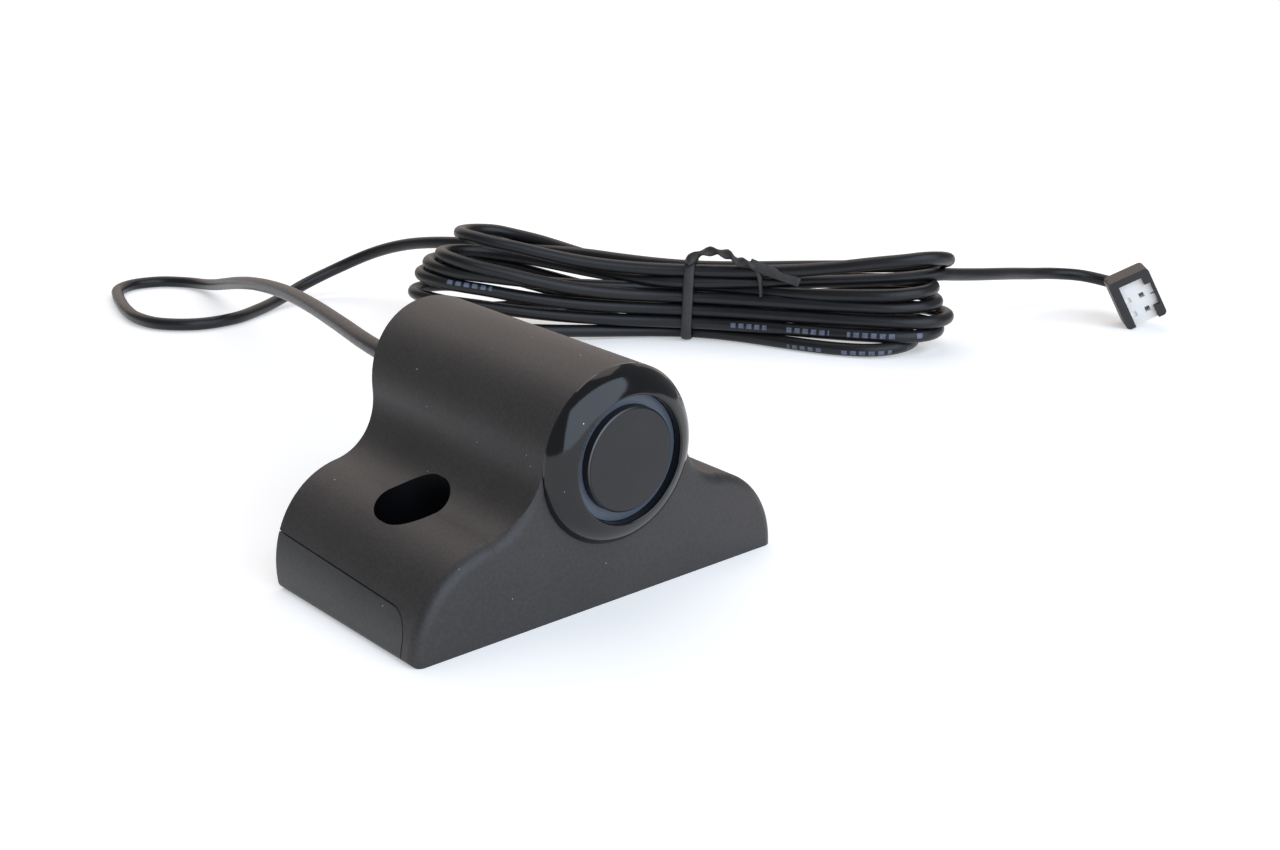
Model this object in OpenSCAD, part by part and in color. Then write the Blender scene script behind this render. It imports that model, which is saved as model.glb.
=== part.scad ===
// Surface-mounted parking sensor: a bell-shaped housing on a screwed base, an
// ultrasonic sensor in its hump, and a tied hank of thin coaxial cable with a plug.
// +X runs to the right along the front, -Y is the front, +Z is up and z = 0 is
// the surface that the base is screwed to. Millimetres.

/* [Housing] */
// Width across the two rounded ends
body_w = 62; // [58:0.5:70]
// Depth of the footprint from front to back
body_d = 32.8; // [31:0.2:40]
// Height of the hump's axis above the middle of the footprint
axis_h = 21.6; // [21:0.1:24]
// Outer radius of the hump
hump_r = 12; // [11.6:0.1:13]
// Radius of the hollow sweep between hump and shoulder
cove_r = 8.8; // [7:0.1:11]
// Radius of the rounded shoulders
shoulder_r = 13.8; // [12:0.1:15]
// Height of the shoulder arcs' centre
shoulder_h = 0.5; // [0:0.1:2]
// Angle at which the hump's axis falls towards the front
axis_tilt = 3; // [0:0.5:5]
// Angle at which the back face leans out
back_lean = 12; // [0:0.5:15]
// Thickness of the housing's walls
wall = 2; // [1.6:0.1:2.4]
// Radius along the front edge of the sweeps and shoulders
front_edge_r = 1.6; // [0.8:0.1:1.9]
// Radius that is left of it where it reaches the hump
hump_edge_r = 0.4; // [0.2:0.05:0.7]
// Radius along the two bottom edges of the ends
foot_r = 1; // [0.4:0.1:1.8]

/* [Base] */
// Thickness of the base's floor
floor_t = 2; // [1.6:0.1:3]
// Height of the parting line, measured below the middle of the hump's axis
seam_h = 6.6; // [5:0.1:8]
// How far behind the front face the parting line turns down
seam_setback = 3; // [2.6:0.1:5]
// Radius of the parting line where it turns down
seam_corner_r = 3.5; // [2:0.1:5]
// Gap along the parting line
seam_gap = 0.2; // [0.1:0.05:0.4]

/* [Screw wells] */
// Distance between the two screws
screw_pitch = 38.8; // [36:0.2:42]
// Place of the screws behind the middle of the footprint
screw_y = 0.6; // [-2:0.1:2]
// Width of a well across the housing
well_w = 9.3; // [8:0.1:10]
// Length of a well from front to back
well_l = 10.4; // [9:0.1:12]
// Thickness of the well's wall
well_wall = 1.5; // [1:0.1:2]
// Thickness of the well's floor under the screw head
well_floor_t = 2; // [1.5:0.1:3]
// Diameter of the screw holes
screw_hole_d = 4.5; // [3.5:0.1:5.5]

/* [Sensor] */
// Outer radius of the bezel
bezel_r = 12; // [11:0.1:12.5]
// Height of the bezel's straight rim
rim_h = 0.3; // [0.2:0.05:0.6]
// Height of the bezel's rounded outside
dome_h = 2.6; // [2:0.1:3]
// Half the angle that the rounded outside turns through
dome_half_angle = 28; // [15:1:32]
// Radius of the opening inside the bezel's lip
lip_r = 8.5; // [8.2:0.1:8.9]
// Rounding of the lip's inner edge
lip_edge_r = 0.3; // [0.1:0.05:0.5]
// Depth of the ring recess below the lip
recess_depth = 1.35; // [1:0.05:1.8]
// Wall of the sensor's barrel round the rear chamber
barrel_wall = 1.8; // [1.2:0.1:2.2]
// Length of the barrel behind the front face
barrel_l = 20.5; // [17:0.5:21]
// Radial play of the barrel in the hump
barrel_play = 0.15; // [0.1:0.05:0.3]

/* [Transducer] */
// Radius of the transducer cup
cup_r = 7; // [6.5:0.1:7.2]
// Length of the transducer cup
cup_l = 9; // [8:0.1:10]
// Thickness of the cup's front face and wall
cup_wall = 0.9; // [0.6:0.1:1.2]
// Chamfer round the cup's face
cup_chamfer = 0.25; // [0.1:0.05:0.4]
// Thickness of the soft sleeve round the cup
sleeve_t = 0.6; // [0.4:0.05:0.8]
// Thickness of the sleeve's flange on the floor of the ring recess
flange_t = 0.6; // [0.4:0.05:0.8]
// Radius of the piezo disc
piezo_r = 4; // [3:0.1:5]
// Thickness of the piezo disc
piezo_t = 0.4; // [0.2:0.05:0.6]
// Thickness of the damping pad
pad_t = 2; // [1:0.1:3]
// Thickness of the terminal board
board_t = 1; // [0.8:0.1:1.6]
// Radius of the two lead wires
wire_r = 0.4; // [0.2:0.05:0.5]
// Distance between the two lead wires
wire_pitch = 4; // [3:0.1:5]
// Clearance between pieces that slide into each other
fit = 0.05; // [0.03:0.01:0.1]

/* [Cable] */
// Diameter of the cable's sheath
cable_d = 2.95; // [2.5:0.05:3.5]
// Diameter of the cable's inner insulation
core_d = 1.5; // [1:0.1:1.8]
// Radius of the cable's hole in the back wall
cable_hole_r = 2.6; // [2.3:0.1:3]
// Radius of the grommet's collars
collar_r = 3.7; // [3.4:0.1:4.2]
// Length of the grommet's outer collar at the axis
collar_l = 3; // [2:0.1:4]
// Height of the tied hank
hank_h = 20; // [18:0.5:24]
// Radius of the hank's two rounded ends
hank_end_r = 10.5; // [9:0.5:12]
// Width of the hank at the tie
hank_waist_w = 9.2; // [8:0.1:12]
// Height of the hank's strands at the tie
hank_waist_h = 18.4; // [15:0.1:19]
// Width of the tie's band
tie_w = 2.7; // [2:0.1:3.5]
// Thickness of the tie's band
tie_t = 0.6; // [0.4:0.05:0.8]

/* [Plug] */
// Width of the plug's hood
hood_w = 9.8; // [9:0.1:11]
// Height of the plug's hood
hood_h = 12.3; // [11:0.1:13]
// Length of the plug's hood
hood_l = 8.4; // [8:0.1:12]
// Thickness of the hood's top wall
hood_top_t = 1.75; // [1.2:0.05:2.2]
// Thickness of the hood's side walls
hood_side_t = 2.1; // [1.6:0.1:2.4]
// Thickness of the hood's rear wall
hood_rear_t = 1.3; // [1:0.1:1.6]
// Corner radius of the hood
hood_r = 1; // [0.6:0.1:1.6]
// How far the insert sits behind the hood's mouth
insert_setback = 1.2; // [0.3:0.1:2]
// How far the insert sits above the hood's open underside
insert_lift = 0.1; // [0.05:0.05:0.4]
// Distance between the contacts across the plug
contact_pitch_x = 3.25; // [2.5:0.05:3.6]
// Distance between the two rows of contacts
contact_pitch_z = 3.65; // [3:0.05:4]
// Width of the contacts' square holes
contact_hole = 1.2; // [1:0.1:1.5]
// How far the contacts lie below the middle of the hood
contact_drop = 1.5; // [1:0.1:2]
// How far the contacts lie to the left of the middle of the hood
contact_shift = 0.35; // [0:0.05:0.6]
// Depth of the two blind holes on the left
blind_depth = 0.4; // [0.2:0.1:1]
// How far the contacts sit behind the insert's face
contact_setback = 2.4; // [0.5:0.1:3]
// How far the latch block stands out of the insert's right side
latch_w = 1.4; // [1:0.1:1.5]
// Height of the latch block
latch_h = 5.5; // [4:0.1:6]
// Length of the latch block from front to back
latch_l = 5; // [3:0.1:5.5]
// Width of the slit across the latch block
slit_w = 0.35; // [0.2:0.05:0.5]
// Length of the slit from the latch block's outer side
slit_l = 0.9; // [0.6:0.1:1.2]
// Angle at which the plug lies over on its edge
plug_roll = 28; // [15:1:35]

/* [Hidden] */
$fn = 64;
// Larger than the whole part, for cutting blocks
big = 80;
// Depth of cuts that run past a face
past = 1;
// How much flatter than a quarter circle the rounded edges are, as a share of their radius
edge_flat = 0.12;
// How far the sweeps bite into the arcs beside them, so that the arcs cross
cove_bite = 0.005;
// Angle left between the edge cutters of the sweep and the shoulder
edge_break = 0.1;
// Length of the straight cutter over that angle, and how far it stays off the rounded edge
joint_l = 0.4;
joint_lift = 0.02;

// Housing outline in the hump's own frame: x across, y above the hump's axis
half_w = body_w / 2;
shoulder_c = [half_w - shoulder_r, shoulder_h - axis_h];
hump_to_cove = hump_r + cove_r;
shoulder_to_cove = shoulder_r + cove_r;
centre_gap = norm(shoulder_c);
centre_dir = shoulder_c / centre_gap;
cove_along = (hump_to_cove ^ 2 - shoulder_to_cove ^ 2 + centre_gap ^ 2) / (2 * centre_gap);
cove_off = sqrt(hump_to_cove ^ 2 - cove_along ^ 2);
cove_c = centre_dir * cove_along + [-centre_dir.y, centre_dir.x] * cove_off;
cove_from_shoulder = cove_c - shoulder_c;
hump_angle = atan2(cove_c.y, cove_c.x);
shoulder_angle = atan2(cove_from_shoulder.y, cove_from_shoulder.x);

// Places along the hump's axis
front_y = -(body_d / 2 * cos(axis_tilt) + axis_h * sin(axis_tilt));
back_y = (body_d / 2 + axis_h * tan(back_lean)) / (cos(axis_tilt) - sin(axis_tilt) * tan(back_lean));
exit_y = back_y + collar_l;
axis_dir = [0, cos(axis_tilt), sin(axis_tilt)];
exit_point = [0, 0, axis_h] + axis_dir * exit_y;
seam_y = seam_h - axis_h;

// Heights along the sensor's axis, counted forwards from the front face
bezel_h = rim_h + dome_h;
recess_q = bezel_h - recess_depth;
flange_q = recess_q - flange_t;
cup_front_q = bezel_h - fit;
cup_rear_q = cup_front_q - cup_l;
piezo_q = cup_front_q - cup_wall;
pad_q = piezo_q - piezo_t;
filler_q = pad_q - pad_t;
sleeve_rear_t = 0.9;
sleeve_rear_q = cup_rear_q - fit - sleeve_rear_t;
board_q = sleeve_rear_q - fit;
board_rear_q = board_q - board_t;
core_q = board_rear_q - fit;
potting_gap = 1.4;
sheath_depth = 2;
potting_q = board_rear_q - potting_gap;
sheath_q = potting_q - sheath_depth;
dome_x = lip_r + lip_edge_r;
dome_run = bezel_r - dome_x;
dome_chord = norm([dome_run, dome_h]);
dome_r = dome_chord / 2 / sin(dome_half_angle);
dome_c = [dome_x + bezel_r, bezel_h + rim_h] / 2
    - [dome_h, dome_run] / dome_chord * dome_r * cos(dome_half_angle);
barrel_r = hump_r - wall - barrel_play;
sleeve_r = cup_r + fit + sleeve_t;
seat_r = sleeve_r + fit;
chamber_r = barrel_r - barrel_wall;
cup_bore_r = cup_r - cup_wall;
cable_r = cable_d / 2;

// Cable route outside the grommet, chosen by hand along the floor
lead_points = [exit_point, [0, 34, 23.4], [2, 45, 23.4], [7, 63, 23], [13, 83, 22], [19, 103, 20.4],
    [25, 123, 18], [31, 143, 15], [37, 163, 11.4], [43, 182, 7.6], [48, 199, 4.2], [50.5, 211, 2.2],
    [49.5, 219.5, 1.6], [44.5, 225.5, 1.6], [37.5, 226.5, 1.6], [31.5, 222, 1.6], [28, 214, 1.6],
    [25, 204.5, 1.6], [22.5, 195, 1.6], [21, 185, 1.6], [22.5, 175.5, 1.6], [29, 169, 1.6],
    [38, 169, 1.6], [47, 174, 1.6], [56, 179.5, 2.2], [65, 182.5, 4.5], [74, 180.5, 8], [80, 173.5, 12],
    [83, 163, 15.2], [85, 151, 17.2], [88.5, 139, 18], [92.5, 127.5, 18], [99.5, 108.3, 18]];
lead_heading = -70;
tail_start = [150, 44, 16];
tube_sides = 8;

// Hank: its tie is at hank_at, and it runs from -hank_left to hank_right beside it
hank_at = [111, 86, 0];
hank_turn = -50;
hank_left = 66;
hank_right = 61;
tie_top = tie_t + hank_waist_h;

// Plug: the middle of its mouth, and the turn of its mouth from the front
plug_at = [196.85, 20.3, 0];
plug_turn = -51.2;
plug_lift = hood_w / 2 * sin(plug_roll) + hood_h / 2 * cos(plug_roll)
    - hood_r * (sin(plug_roll) + cos(plug_roll) - 1);
mouth_w = hood_w - 2 * hood_side_t;
mouth_top_z = hood_h / 2 - hood_top_t;
insert_w = mouth_w - 2 * fit;
insert_low_z = insert_lift - hood_h / 2;
insert_h = mouth_top_z - fit - insert_low_z;
insert_rear_y = hood_l - hood_rear_t - fit;
latch_z = -0.25;
tail_run_in = 2.5;
tail_sag = 0.5;
plug_axis = [-sin(plug_turn), cos(plug_turn), 0];
plug_mid = plug_at + [0, 0, plug_lift];
tail_points = [tail_start, [157, 44, 15.1], [165, 44, 14.1], [174, 44.5, 13], [183, 45.5, 11.8],
    [191, 46, 10.7], [199.5, 45, 9.8], [206, 41, 9], [208.5, 34.5, 8],
    plug_mid + (hood_l + tail_run_in) * plug_axis, plug_mid + insert_rear_y * plug_axis];

// Frames

// Turns children from the hump's frame into the part's frame
module on_axis() {
    translate([0, 0, axis_h]) rotate([axis_tilt, 0, 0]) children();
}

// Turns a shape drawn along +Z so that +Z points out of the front face
module on_front() {
    on_axis() translate([0, front_y, 0]) rotate([90, 0, 0]) children();
}

// Everything in front of the back face, moved in by inset
module before_back(inset) {
    translate([0, body_d / 2, 0]) rotate([-back_lean, 0, 0])
        translate([-big, -2 * big - inset, -big]) cube(2 * big);
}

// A slot outline of width w and length l, along Y
module obround(w, l) {
    run = l - w;
    square([w, run], center = true);
    for (end = [-1, 1])
        translate([0, end * run / 2]) intersection() {
            circle(d = w);
            translate([0, end * w / 2]) square([2 * w, w], center = true);
        }
}

// Housing outline

// The bell outline, offset inwards by inset
module bell_outline(inset) {
    end_x = half_w - inset;
    low_y = -2 * axis_h;
    difference() {
        union() {
            polygon([[-end_x, shoulder_c.y], [-end_x, low_y], [end_x, low_y], [end_x, shoulder_c.y],
                shoulder_c, cove_c, [0, 0], [-cove_c.x, cove_c.y], [-shoulder_c.x, shoulder_c.y]]);
            circle(hump_r - inset);
            for (side = [-1, 1]) translate([side * shoulder_c.x, shoulder_c.y]) circle(shoulder_r - inset);
        }
        for (side = [-1, 1]) translate([side * cove_c.x, cove_c.y]) circle(cove_r + inset + cove_bite);
    }
}

// A block of the bell outline along the hump's axis
module bell_block(inset, from_y, to_y) {
    on_axis() translate([0, to_y, 0]) rotate([90, 0, 0]) linear_extrude(to_y - from_y) bell_outline(inset);
}

// The corner that a rounding takes off an edge at the origin of a solid towards -X and +Y;
// the arc is a little flatter than a full quarter, so that it crosses both faces
module edge_corner(r) {
    back = r * (1 + edge_flat);
    difference() {
        translate([-back, -past]) square(back + past);
        translate([-back, back]) circle(r * sqrt(edge_flat ^ 2 + (1 + edge_flat) ^ 2));
    }
}

// The cutters that round one side's front edge. The one along the sweep turns about a centre
// nearer to the shoulder, so that it leaves the edge little by little towards the hump
module sweep_edge_cutter() {
    sweep_angle = shoulder_angle - hump_angle;
    fade_shift = (front_edge_r - hump_edge_r) / (1 - cos(sweep_angle));
    fade_angle = atan2(cove_r * sin(sweep_angle), cove_r * cos(sweep_angle) - fade_shift);
    on_front() translate([cove_c.x, cove_c.y, 0]) rotate([0, 0, shoulder_angle + 180])
        translate([fade_shift, 0, 0]) rotate([0, 0, -fade_angle])
            rotate_extrude(angle = fade_angle - edge_break)
                translate([cove_r - fade_shift, 0]) rotate([0, 0, 180]) edge_corner(front_edge_r);
}

module shoulder_edge_cutter() {
    on_front() translate([shoulder_c.x, shoulder_c.y, 0]) rotate_extrude(angle = shoulder_angle)
        translate([shoulder_r, 0]) mirror([0, 1]) edge_corner(front_edge_r);
}

// A short straight cutter that clears the angle between the two
module joint_edge_cutter() {
    on_front() translate([shoulder_c.x, shoulder_c.y, 0]) rotate([0, 0, shoulder_angle])
        translate([shoulder_r, 0, 0]) rotate([90, 0, 0]) linear_extrude(joint_l, center = true)
            mirror([0, 1]) translate([joint_lift, -joint_lift]) edge_corner(front_edge_r);
}

module end_edge_cutter() {
    on_front() translate([half_w, shoulder_c.y, 0]) rotate([90, 0, 0]) linear_extrude(2 * axis_h)
        mirror([0, 1]) edge_corner(front_edge_r);
}

// The cutter that rounds the bottom edge of one end
module foot_cutter() {
    rotate([90, 0, 0]) translate([half_w, 0, 0]) linear_extrude(2 * big, center = true) edge_corner(foot_r);
}

// The housing's whole outside
module housing_block() {
    difference() {
        intersection() {
            bell_block(0, front_y, big);
            before_back(0);
            translate([-big, -big, 0]) cube(2 * big);
        }
        sweep_edge_cutter();
        mirror([1, 0, 0]) sweep_edge_cutter();
        shoulder_edge_cutter();
        mirror([1, 0, 0]) shoulder_edge_cutter();
        joint_edge_cutter();
        mirror([1, 0, 0]) joint_edge_cutter();
        end_edge_cutter();
        mirror([1, 0, 0]) end_edge_cutter();
        foot_cutter();
        mirror([1, 0, 0]) foot_cutter();
    }
}

// The hollow inside the housing's walls
module housing_hollow() {
    intersection() {
        bell_block(wall, front_y + wall, big);
        before_back(wall);
    }
}

// The space that belongs to the base, grown by the gap along the parting line
module base_space(grow) {
    front = front_y + seam_setback - grow;
    top = seam_y + grow;
    r = seam_corner_r + grow;
    on_axis() rotate([90, 0, 90]) linear_extrude(2 * big, center = true) {
        translate([front + r, top - r]) intersection() {
            circle(r);
            translate([-r, 0]) square(r);
        }
        translate([front + r, top - r]) square([big, r]);
        translate([front, top - r - big]) square([big + r, big]);
    }
}

// Screw wells

module at_screws() {
    for (side = [-1, 1]) translate([side * screw_pitch / 2, screw_y, 0]) children();
}

module well_walls() {
    intersection() {
        at_screws() translate([0, 0, floor_t])
            linear_extrude(big) obround(well_w + 2 * well_wall, well_l + 2 * well_wall);
        bell_block(wall / 2, front_y + wall / 2, back_y);
    }
}

module well_cuts() {
    at_screws() {
        translate([0, 0, floor_t + well_floor_t]) linear_extrude(big) obround(well_w, well_l);
        translate([0, 0, -past]) cylinder(d = screw_hole_d, h = floor_t + well_floor_t + 2 * past);
    }
}

// Housing pieces

module housing_cover() {
    color("#3a3838") difference() {
        union() {
            difference() {
                housing_block();
                housing_hollow();
                base_space(seam_gap);
            }
            well_walls();
        }
        well_cuts();
        on_front() translate([0, 0, -wall - past]) cylinder(r = barrel_r + barrel_play, h = wall + 2 * past);
        on_axis() translate([0, back_y, 0]) rotate([90, 0, 0])
            cylinder(r = cable_hole_r, h = 4 * wall, center = true);
    }
}

module housing_base() {
    color("#454547") difference() {
        intersection() {
            housing_block();
            base_space(0);
        }
        difference() {
            housing_hollow();
            translate([-big, -big, -big]) cube([2 * big, 2 * big, big + floor_t]);
        }
        at_screws() translate([0, 0, -past]) cylinder(d = screw_hole_d, h = floor_t + 2 * past);
    }
}

// Sensor pieces, turned about the hump's axis

module bezel_section() {
    translate([chamber_r, 0]) square([bezel_r - chamber_r, rim_h]);
    intersection() {
        translate(dome_c) circle(dome_r);
        translate([dome_x, rim_h]) square(2 * dome_r);
    }
    translate([lip_r, rim_h]) square([lip_edge_r, dome_h - lip_edge_r]);
    translate([dome_x, bezel_h - lip_edge_r]) intersection() {
        circle(lip_edge_r);
        translate([-lip_edge_r, 0]) square(lip_edge_r);
    }
}

module sensor_body() {
    color("#15161a") on_front() rotate_extrude() {
        bezel_section();
        translate([seat_r, board_q]) square([barrel_r - seat_r, -board_q]);
        translate([seat_r, 0]) square([lip_r - seat_r, flange_q - fit]);
        translate([chamber_r, -barrel_l]) square([barrel_wall, barrel_l + board_q]);
    }
}

module decoupling_sleeve() {
    color("#222326") on_front() rotate_extrude() {
        translate([cup_r + fit, flange_q]) square([lip_r - cup_r - 2 * fit, flange_t]);
        translate([cup_r + fit, sleeve_rear_q]) square([sleeve_t, flange_q - sleeve_rear_q]);
        translate([cup_bore_r, sleeve_rear_q]) square([cup_wall + fit + sleeve_t, sleeve_rear_t]);
    }
}

module transducer_cup() {
    color("#3b3c40") on_front() rotate_extrude() {
        polygon([[0, cup_front_q], [cup_r - cup_chamfer, cup_front_q], [cup_r, cup_front_q - cup_chamfer],
            [cup_r, cup_rear_q], [cup_bore_r, cup_rear_q], [cup_bore_r, piezo_q], [0, piezo_q]]);
    }
}

module piezo_disc() {
    color("#d8d2c0") on_front() translate([0, 0, pad_q]) cylinder(r = piezo_r, h = piezo_t);
}

// The two wires' places, as cylinders of radius r
module wire_pair(r, from_q, to_q) {
    for (side = [-1, 1]) translate([side * wire_pitch / 2, 0, from_q]) cylinder(r = r, h = to_q - from_q);
}

module damping_pad() {
    color("#8a7d66") on_front() difference() {
        translate([0, 0, filler_q]) cylinder(r = cup_bore_r - fit, h = pad_t);
        wire_pair(wire_r + fit, filler_q - past, pad_q + past);
    }
}

module cup_filler() {
    color("#b9b9b4") on_front() difference() {
        translate([0, 0, cup_rear_q]) cylinder(r = cup_bore_r - fit, h = filler_q - cup_rear_q);
        wire_pair(wire_r + fit, cup_rear_q - past, filler_q + past);
    }
}

module lead_wires() {
    color("#a33a2c") on_front() wire_pair(wire_r, board_q, pad_q);
}

module terminal_board() {
    color("#2f6b45") on_front() translate([0, 0, board_rear_q]) cylinder(r = chamber_r - fit, h = board_t);
}

module potting_plug() {
    color("#1c1c1e") on_front() difference() {
        translate([0, 0, -barrel_l]) cylinder(r = chamber_r - fit, h = potting_q + barrel_l);
        translate([0, 0, -barrel_l - past]) cylinder(r = cable_r + fit, h = potting_q + barrel_l + 2 * past);
    }
}

module cable_core() {
    color("#e8e6df") on_front() translate([0, 0, sheath_q]) cylinder(d = core_d, h = core_q - sheath_q);
}

module cable_inner() {
    color("#1b1b1d") on_axis() translate([0, exit_y, 0]) rotate([90, 0, 0])
        cylinder(r = cable_r, h = exit_y - front_y + sheath_q);
}

// A rubber grommet whose collars lie flat on both faces of the leaning back wall
module cable_grommet() {
    bore = cable_r + fit;
    length = collar_l + 3 * wall;
    color("#26272a") difference() {
        union() {
            on_axis() translate([0, exit_y, 0]) rotate([90, 0, 0])
                cylinder(r = cable_hole_r - fit, h = length);
            difference() {
                on_axis() translate([0, exit_y, 0]) rotate([90, 0, 0]) cylinder(r = collar_r, h = length);
                difference() {
                    before_back(0);
                    before_back(wall);
                }
            }
        }
        on_axis() translate([0, exit_y + past, 0]) rotate([90, 0, 0])
            cylinder(r = bore, h = length + 2 * past);
    }
}

// Free cable

// Points halfway along a smooth curve through the route, straight in its first and last stretch
function midpoint(p, i) = i == 0 || i == len(p) - 2
    ? (p[i] + p[i + 1]) / 2
    : (9 * (p[i] + p[i + 1]) - p[i - 1] - p[i + 2]) / 16;
function refined(p) =
    [for (i = [0 : len(p) - 1]) each i < len(p) - 1 ? [p[i], midpoint(p, i)] : [p[i]]];
function unit(v) = v / norm(v);
function tangent(p, i) = unit(p[min(i + 1, len(p) - 1)] - p[max(i - 1, 0)]);
// One ring of a tube round point c, square to direction d
function ring(c, d, r) =
    let (side = unit(cross(d, [0, 0, 1])), up = cross(side, d))
    [for (k = [0 : tube_sides - 1])
        let (a = 360 * k / tube_sides) c + r * (cos(a) * side + sin(a) * up)];

// A closed tube along a route that leaves in direction start_dir and arrives in end_dir
module tube(route, r, start_dir, end_dir) {
    p = refined(route);
    n = len(p);
    m = tube_sides;
    dirs = [for (i = [0 : n - 1]) i == 0 ? start_dir : i == n - 1 ? end_dir : tangent(p, i)];
    points = [for (i = [0 : n - 1]) each ring(p[i], dirs[i], r)];
    walls = [for (i = [0 : n - 2], k = [0 : m - 1])
        let (a = i * m + k, b = i * m + (k + 1) % m)
        each [[a, a + m, b], [b, a + m, b + m]]];
    first = [for (k = [0 : m - 1]) k];
    last = [for (k = [m - 1 : -1 : 0]) (n - 1) * m + k];
    polyhedron(points, concat([first], walls, [last]));
}

module cable_lead() {
    color("#1b1b1d") tube(lead_points, cable_r, axis_dir, [cos(lead_heading), sin(lead_heading), 0]);
}

module cable_tail() {
    color("#1b1b1d") tube(tail_points, cable_r, [1, 0, 0], -plug_axis);
}

module at_hank() {
    translate(hank_at) rotate([0, 0, hank_turn]) children();
}

// One end of the hank, from the tie's edge to a rounded end at reach
module hank_lobe(reach) {
    side = sign(reach);
    hull() {
        translate([reach - side * hank_end_r, 0]) circle(hank_end_r, $fn = 32);
        translate([side * (tie_w + past) / 2, 0]) square([past, hank_waist_w], center = true);
    }
}

// The slot in which a strand of cable leaves the hank, open above, from its end at p,
// with its floor lowered by drop
module strand_slot(p, heading, drop) {
    width = cable_d + 2 * fit;
    translate(p) rotate([0, 0, heading])
        translate([0, -width / 2, -width / 2 - drop]) cube([big, width, big]);
}

module cable_hank() {
    color("#1b1b1d") difference() {
        at_hank() difference() {
            linear_extrude(hank_h) {
                hank_lobe(-hank_left);
                hank_lobe(hank_right);
                square([tie_w + past, hank_waist_w], center = true);
            }
            tie_groove(-past, tie_t);
            tie_groove(tie_top, big);
        }
        strand_slot(lead_points[len(lead_points) - 1], lead_heading + 180, 0);
        strand_slot(tail_start, 0, tail_sag);
    }
}

// The groove that the tie's band lies in, between two heights
module tie_groove(from, to) {
    translate([-tie_w / 2 - fit, -hank_end_r, from]) cube([tie_w + 2 * fit, 2 * hank_end_r, to - from]);
}

module twist_tie() {
    color("#55565a") at_hank() rotate([90, 0, 90]) linear_extrude(tie_w, center = true) difference() {
        translate([-hank_waist_w / 2 - tie_t - fit, 0])
            square([hank_waist_w + 2 * tie_t + 2 * fit, tie_top + tie_t]);
        translate([-hank_waist_w / 2 - fit, tie_t]) square([hank_waist_w + 2 * fit, hank_waist_h]);
    }
}

// Plug, drawn with its mouth at the origin facing -Y

module at_plug() {
    translate(plug_at + [0, 0, plug_lift]) rotate([0, 0, plug_turn]) rotate([0, -plug_roll, 0]) children();
}

// A block with rounded corners along Y, from y = from to y = to
module rounded_bar(w, h, r, from, to) {
    translate([0, to, 0]) rotate([90, 0, 0]) linear_extrude(to - from) {
        square([w - 2 * r, h], center = true);
        for (side = [-1, 1]) {
            translate([side * (w - r) / 2, 0]) square([r, h - 2 * r], center = true);
            for (top = [-1, 1]) translate([side * (w / 2 - r), top * (h / 2 - r)]) intersection() {
                circle(r);
                translate([side * r / 2, top * r / 2]) square(r, center = true);
            }
        }
    }
}

// A box from x = from_x to x = to_x and from y = from_y to y = to_y, of height h from z
module plug_box(from_x, to_x, from_y, to_y, z, h) {
    translate([from_x, from_y, z]) cube([to_x - from_x, to_y - from_y, h]);
}

// A hood that is open at its mouth and underside, with a notch for the insert's latch block
module plug_hood() {
    notch_h = latch_h + 2 * fit;
    color("#202126") at_plug() difference() {
        rounded_bar(hood_w, hood_h, hood_r, 0, hood_l);
        plug_box(-mouth_w / 2, mouth_w / 2, -past, hood_l - hood_rear_t, -hood_h, hood_h + mouth_top_z);
        plug_box(0, mouth_w / 2 + latch_w, -past, insert_setback + latch_l + fit,
            latch_z - notch_h / 2, notch_h);
        translate([0, hood_l, 0]) rotate([90, 0, 0])
            cylinder(r = cable_r + fit, h = 2 * hood_rear_t + past, center = true);
    }
}

// The contact places on one side, -1 for the left and 1 for the right
module at_contacts(side) {
    for (row = [-1, 1])
        translate([side * contact_pitch_x / 2 - contact_shift, 0, row * contact_pitch_z / 2 - contact_drop])
            children();
}

// A square bar along Y through a contact's place
module contact_bar(w, from, to) {
    plug_box(-w / 2, w / 2, from, to, -w / 2, w);
}

module plug_insert() {
    latch_x = insert_w / 2 + latch_w;
    color("#eceae4") at_plug() difference() {
        union() {
            plug_box(-insert_w / 2, insert_w / 2, insert_setback, insert_rear_y, insert_low_z, insert_h);
            plug_box(0, latch_x, insert_setback, insert_setback + latch_l, latch_z - latch_h / 2, latch_h);
        }
        plug_box(latch_x - slit_l, latch_x + past, insert_setback - past, insert_setback + latch_l + past,
            latch_z - slit_w / 2, slit_w);
        at_contacts(1) contact_bar(contact_hole, insert_setback - past, insert_rear_y + past);
        at_contacts(-1) contact_bar(contact_hole, insert_setback - past, insert_setback + blind_depth);
    }
}

module plug_contacts() {
    color("#b8934a") at_plug() at_contacts(1)
        contact_bar(contact_hole - 2 * fit, insert_setback + contact_setback, insert_rear_y);
}

housing_cover();
housing_base();
sensor_body();
decoupling_sleeve();
transducer_cup();
piezo_disc();
damping_pad();
cup_filler();
lead_wires();
terminal_board();
potting_plug();
cable_core();
cable_inner();
cable_grommet();
cable_lead();
cable_hank();
twist_tie();
cable_tail();
plug_hood();
plug_insert();
plug_contacts();
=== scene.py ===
"""Looks of a surface-mounted parking sensor with its tied hank of thin cable and its plug."""
import logging
import math
from dataclasses import dataclass, field
from enum import Enum
from typing import Dict, List, Sequence, Tuple

import bmesh
import bpy
from mathutils import Matrix, Vector


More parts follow.
